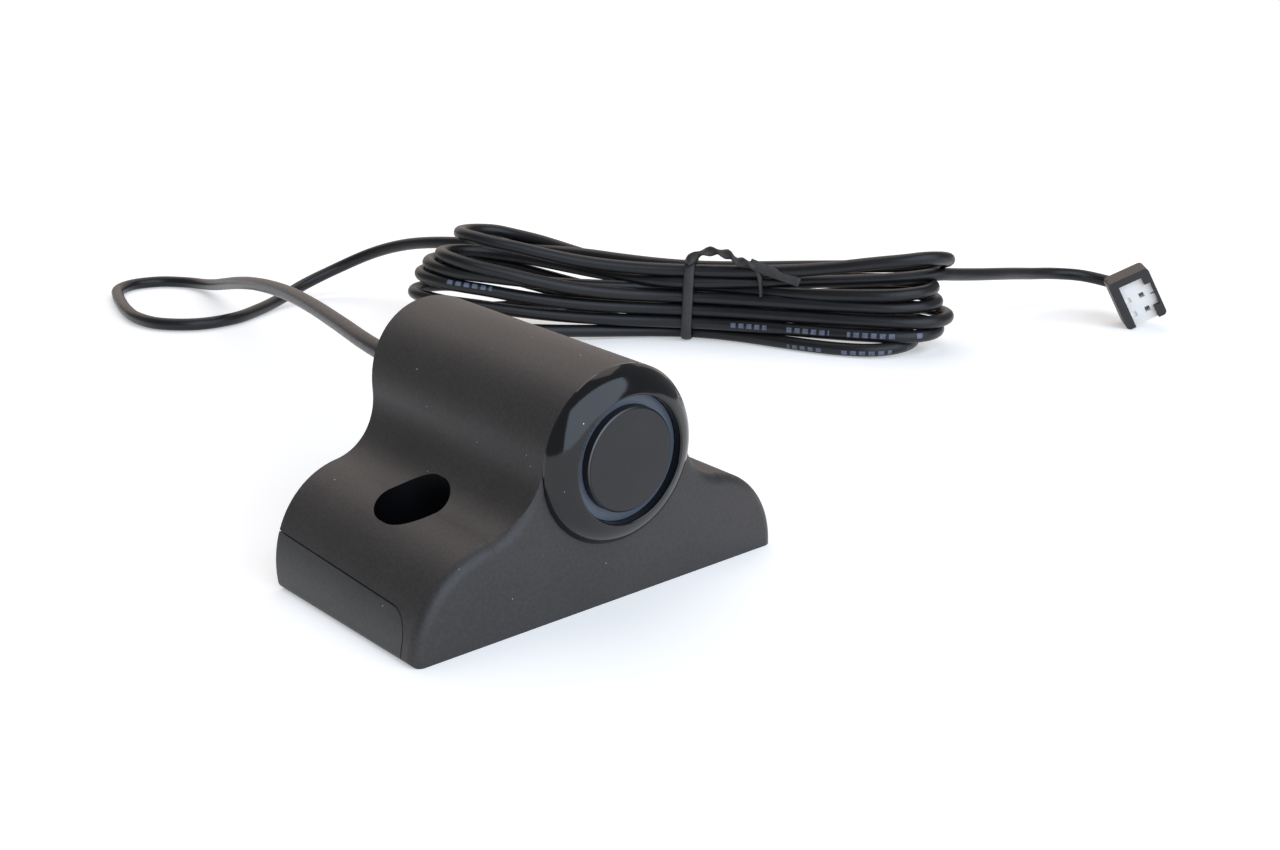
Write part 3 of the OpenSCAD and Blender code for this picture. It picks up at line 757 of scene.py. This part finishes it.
    def half_turn(self, lobe: Lobe, side: Side, start: Tuple[float, float],
                  stop: Tuple[float, float]) -> List[Vector]:
        """Follows the cable from the tie round one lobe and back to the tie.

        Args:
            lobe: The bend at the end.
            side: Which end; the right one is entered on its far side, the left one on its near side.
            start: Place (d, z) at the tie where the cable sets off.
            stop: Place (d, z) at the tie where it comes back.

        Returns:
            The points, without the last one at the tie.
        """
        way = side.value
        centre = way * (lobe.reach - self.bend_radius)
        near = ((centre, lobe.middle - self.bend_radius, lobe.near_z), self.near_fall)
        far = ((centre, lobe.middle + self.bend_radius, lobe.far_z), self.far_fall)
        (enter, enter_fall), (leave, leave_fall) = (far, near) if side is Side.RIGHT else (near, far)
        points = [self.frame.place(0.0, *start)]
        points += self.strand(enter, start, enter_fall)[:0:-1]
        for i in range(self.bend_steps):
            a = math.pi * i / self.bend_steps
            z = enter[2] + (leave[2] - enter[2]) * (1.0 - math.cos(a)) / 2.0 + lobe.rise * math.sin(a)
            points.append(self.frame.place(centre + way * self.bend_radius * math.sin(a),
                                           lobe.middle + way * self.bend_radius * math.cos(a), z))
        return points + self.strand(leave, stop, leave_fall)

    def route(self) -> List[Vector]:
        """Returns the points that the cable follows, in metres."""
        hank = [self.frame.place(*p) for p in self.lead_in]
        fars = [self.lead_row, *self.far_rows, self.tail_row]
        for i, (right, left) in enumerate(zip(self.right_lobes, self.left_lobes)):
            hank += self.half_turn(right, Side.RIGHT, fars[i], self.near_rows[i])
            hank += self.half_turn(left, Side.LEFT, self.near_rows[i], fars[i + 1])
        hank.append(self.frame.place(0.0, *self.tail_row))
        hank += [self.frame.place(*p) for p in self.tail_rise]
        lead, tail = ([Vector(p) * MM for p in points] for points in (self.lead, self.tail))
        return lead + settled(hank, self.settle_passes) + tail

    def build(self, shelf: FinishShelf, pieces: Sequence[bpy.types.Object]) -> bpy.types.Object:
        """Args:
            shelf: The finishes.
            pieces: What is on the cable; not used.

        Returns:
            The cable's object.
        """
        fine = smooth_line(self.route(), self.line_steps)
        radius = self.diameter / 2 * MM
        bm = bmesh.new()
        sweep(bm, level_frames(fine), (radius, radius), self.sides, PRINT_LAYER)
        cable = finished("cable", bm)
        dress(cable, shelf.get("cable_sheath"))
        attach(cable, BODY)
        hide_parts("cable_lead", "cable_hank", "cable_tail")
        return cable


def settled(points: Sequence[Vector], passes: int) -> List[Vector]:
    """Evens out the heights of a line.

    Args:
        points: The line's points.
        passes: How often each height is averaged with its neighbours'.

    Returns:
        The points at their new heights.
    """
    heights = [p.z for p in points]
    for _ in range(passes):
        inner = [(a + 2.0 * b + c) / 4.0 for a, b, c in zip(heights, heights[1:], heights[2:])]
        heights = [heights[0], *inner, heights[-1]]
    return [Vector((p.x, p.y, z)) for p, z in zip(points, heights)]


def smooth_line(points: Sequence[Vector], steps: int) -> List[Vector]:
    """Fills in a smooth line through points.

    Args:
        points: The points to pass through.
        steps: New stretches for each old one.

    Returns:
        The filled line.
    """
    line = []
    last = len(points) - 1
    for i in range(last):
        a, b = points[max(i - 1, 0)], points[i]
        c, d = points[i + 1], points[min(i + 2, last)]
        ab, bc, cd = ((end - start).length ** 0.5 or TINY for start, end in ((a, b), (b, c), (c, d)))
        m1 = (c - b) if i == 0 else bc * ((b - a) / ab - (c - a) / (ab + bc)) + (c - b)
        m2 = (c - b) if i == last - 1 else bc * ((d - c) / cd - (d - b) / (bc + cd)) + (c - b)
        for k in range(steps):
            t = k / steps
            line.append((2 * t ** 3 - 3 * t ** 2 + 1) * b + (t ** 3 - 2 * t ** 2 + t) * m1
                        + (3 * t ** 2 - 2 * t ** 3) * c + (t ** 3 - t ** 2) * m2)
    return line + [points[last]]


def level_frames(line: Sequence[Vector]) -> List[Matrix]:
    """Returns a frame at each point of a line, with Z ahead and X level."""
    frames = []
    for i, place in enumerate(line):
        ahead = (line[min(i + 1, len(line) - 1)] - line[max(i - 1, 0)]).normalized()
        level = Vector((0.0, 0.0, 1.0)).cross(ahead).normalized()
        turn = Matrix((level, ahead.cross(level), ahead)).transposed().to_4x4()
        frames.append(Matrix.Translation(place) @ turn)
    return frames


def sweep(bm: bmesh.types.BMesh, frames: Sequence[Matrix], radii: Tuple[float, float], sides: int,
          layer_name: str = "", closed: bool = False) -> None:
    """Sweeps an oval ring through frames by extruding it step by step.

    Args:
        bm: The mesh that takes the tube.
        frames: Where the ring goes, with Z along the way.
        radii: The oval's two radii.
        sides: Corners of the ring.
        layer_name: Vertex layer for the place round the ring and the length travelled, if wanted.
        closed: Whether the last ring joins the first; otherwise both ends are capped.
    """
    layer = bm.verts.layers.float_vector.new(layer_name) if layer_name else None
    oval = Matrix.Diagonal((*radii, 1.0, 1.0))
    verts = bmesh.ops.create_circle(bm, segments=sides, radius=1.0, matrix=frames[0] @ oval)["verts"]
    edges = first = list({edge for vert in verts for edge in vert.link_edges})
    last, travelled = frames[0], 0.0
    for frame_now in frames:
        if frame_now is not last:
            made = bmesh.ops.extrude_edge_only(bm, edges=edges)["geom"]
            verts = [item for item in made if isinstance(item, bmesh.types.BMVert)]
            edges = [item for item in made if isinstance(item, bmesh.types.BMEdge) and item.is_boundary]
            bmesh.ops.transform(bm, matrix=frame_now @ last.inverted(), verts=verts)
        travelled += (frame_now.translation - last.translation).length
        last = frame_now
        if layer:
            back = (frame_now @ oval).inverted()
            for vert in verts:
                place = back @ vert.co
                vert[layer] = (place.x, place.y, travelled)
    if closed:
        bmesh.ops.bridge_loops(bm, edges=first + edges)
    else:
        bmesh.ops.edgeloop_fill(bm, edges=first)
        bmesh.ops.edgeloop_fill(bm, edges=edges)


def finished(name: str, bm: bmesh.types.BMesh) -> bpy.types.Object:
    """Turns a bmesh into a smooth-shaded object with its faces outward.

    Args:
        name: Name of the piece.
        bm: Its mesh, which is freed.

    Returns:
        The object.
    """
    bmesh.ops.recalc_face_normals(bm, faces=bm.faces)
    for face in bm.faces:
        face.smooth = True
    mesh = bpy.data.meshes.new(name)
    bm.to_mesh(mesh)
    bm.free()
    obj = bpy.data.objects.new(name, mesh)
    bpy.context.scene.collection.objects.link(obj)
    return obj


@dataclass
class TwistTie:
    """The coated wire round the hank: a band, its twisted ends and two free tails.

    Points are given in the hank's frame, in millimetres.

    Attributes:
        width: Width of the band.
        thickness: Thickness of the band.
        lean: Place of the band along the hank, below and above.
        half_d: Half the depth of the band's ring.
        low_z: Height of the ring's lower side.
        high_z: Height of its upper side.
        corner: Radius of its corners.
        corner_steps: Stretches on a corner.
        line_steps: Rings of a strip from one point to the next.
        sides: Corners of a ring.
        arch: Course of the twisted ends.
        arch_radii: Their two radii.
        arch_turns: How often they twist.
        flat_tail: Course of the tail that is seen broad.
        flat_radii: Its two radii.
        flat_start: How far it is turned, in degrees.
        thin_tail: Course of the tail that hangs down.
        thin_radii: Its two radii.
        frame: The hank's frame.
    """

    width: float = 2.4
    thickness: float = 0.7
    lean: Tuple[float, float] = (0.3, 1.1)
    half_d: float = 4.95
    low_z: float = 0.36
    high_z: float = 19.2
    corner: float = 3.2
    corner_steps: int = 5
    line_steps: int = 8
    sides: int = 12
    arch: Sequence[Point] = ((0.6, -4.8, 18.3), (1.7, -4.6, 19.7), (3.4, -4.4, 20.7), (5.2, -4.4, 21.2),
                             (6.9, -4.6, 21.3), (8.7, -4.9, 21.0), (10.3, -5.3, 20.6), (11.7, -5.8, 19.6),
                             (13.3, -6.2, 19.2), (14.9, -6.5, 19.0), (16.3, -6.8, 18.6))
    arch_radii: Tuple[float, float] = (1.15, 0.6)
    arch_turns: float = 2.2
    flat_tail: Sequence[Point] = ((14.9, -6.5, 19.2), (18.1, -7.0, 18.0), (21.7, -7.4, 16.8),
                                  (26.2, -7.9, 15.4))
    flat_radii: Tuple[float, float] = (1.15, 0.33)
    flat_start: float = 75.0
    thin_tail: Sequence[Point] = ((16.1, -6.6, 18.3), (17.1, -6.6, 16.1), (17.4, -6.4, 14.0),
                                  (17.5, -6.2, 11.5))
    thin_radii: Tuple[float, float] = (0.34, 0.55)
    frame: HankFrame = field(default_factory=HankFrame)

    def band_frames(self) -> List[Matrix]:
        """Returns the frames round the bundle, with X along the hank."""
        middle_z, half_z = (self.low_z + self.high_z) / 2, (self.high_z - self.low_z) / 2
        places, outs = [], []
        for quarter, (side_d, side_z) in enumerate(((1, 1), (-1, 1), (-1, -1), (1, -1))):
            for step in range(self.corner_steps + 1):
                a = math.radians(90 * quarter + 90 * step / self.corner_steps)
                c, s = math.cos(a), math.sin(a)
                places.append((side_d * (self.half_d - self.corner) + c * self.corner,
                               middle_z + side_z * (half_z - self.corner) + s * self.corner))
                outs.append((c, s))
        along = (self.frame.place(1.0, 0.0, 0.0) - self.frame.place(0.0, 0.0, 0.0)).normalized()
        across = (self.frame.place(0.0, 1.0, 0.0) - self.frame.place(0.0, 0.0, 0.0)).normalized()
        frames = []
        for (d, z), (c, s) in zip(places, outs):
            out = across * c + Vector((0.0, 0.0, s))
            turn = Matrix((along, out, along.cross(out))).transposed().to_4x4()
            along_hank = self.lean[0] + (self.lean[1] - self.lean[0]) * z / self.high_z
            frames.append(Matrix.Translation(self.frame.place(along_hank, d, z)) @ turn)
        return frames

    def strip_frames(self, points: Sequence[Point], turns: float, start: float) -> List[Matrix]:
        """Returns frames along one strip.

        Args:
            points: The strip's course.
            turns: How often it twists on its way.
            start: Its first angle in degrees.

        Returns:
            The frames.
        """
        line = smooth_line([self.frame.place(*p) for p in points], self.line_steps)
        frames = level_frames(line)
        last = len(frames) - 1
        return [f @ Matrix.Rotation(math.radians(start) + 2 * math.pi * turns * i / last, 4, "Z")
                for i, f in enumerate(frames)]

    def build(self, shelf: FinishShelf) -> bpy.types.Object:
        """Makes the tie.

        Args:
            shelf: The finishes.

        Returns:
            The tie's object.
        """
        bm = bmesh.new()
        flat = (self.width / 2 * MM, self.thickness / 2 * MM)
        sweep(bm, self.band_frames(), flat, self.sides, closed=True)
        for points, radii, turns, start in ((self.arch, self.arch_radii, self.arch_turns, 0.0),
                                            (self.flat_tail, self.flat_radii, 0.0, self.flat_start),
                                            (self.thin_tail, self.thin_radii, 0.0, 0.0)):
            sweep(bm, self.strip_frames(points, turns, start), (radii[0] * MM, radii[1] * MM), self.sides)
        tie = finished("tie", bm)
        dress(tie, shelf.get("tie_plastic"))
        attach(tie, BODY)
        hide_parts("twist_tie")
        LOG.info("tie: band, twisted ends and two tails")
        return tie


@dataclass
class Dressing:
    """Gives the rigid pieces from the solid model their finishes."""

    finishes: Dict[str, str] = field(default_factory=lambda: {
        "housing_cover": "housing_plastic", "housing_base": "base_plastic", "sensor_body": "bezel_plastic",
        "decoupling_sleeve": "ring_silicone_painted_reflection", "transducer_cup": "cup_coat", "piezo_disc": "ceramic",
        "damping_pad": "pad_foam", "cup_filler": "filler_silicone", "lead_wires": "wire_coat",
        "terminal_board": "board_laminate", "potting_plug": "potting_resin", "cable_core": "core_insulation",
        "cable_inner": "inner_sheath", "cable_grommet": "soft_rubber",
        "plug_hood": "hood_plastic", "plug_insert": "insert_plastic", "plug_contacts": "contact_brass"})

    def build(self, nodes: Dict[str, bpy.types.Object], shelf: FinishShelf) -> None:
        """Dresses every rigid node.

        Args:
            nodes: The solid model's pieces.
            shelf: The finishes.
        """
        for name, finish in self.finishes.items():
            dress(nodes[name], shelf.get(finish))
            LOG.info("%s: %s", name, finish)


def main() -> None:
    """Builds the scene."""
    logging.basicConfig(level=logging.INFO, format="%(message)s")
    nodes = frame["nodes"]
    shelf = FinishShelf()
    PhotoCamera().build()
    plug = [nodes[name] for name in ("plug_hood", "plug_insert", "plug_contacts")]
    Cable().build(shelf, [TwistTie().build(shelf), *plug])
    Dressing().build(nodes, shelf)
    Studio().build()


if __name__ == "__main__":
    main()
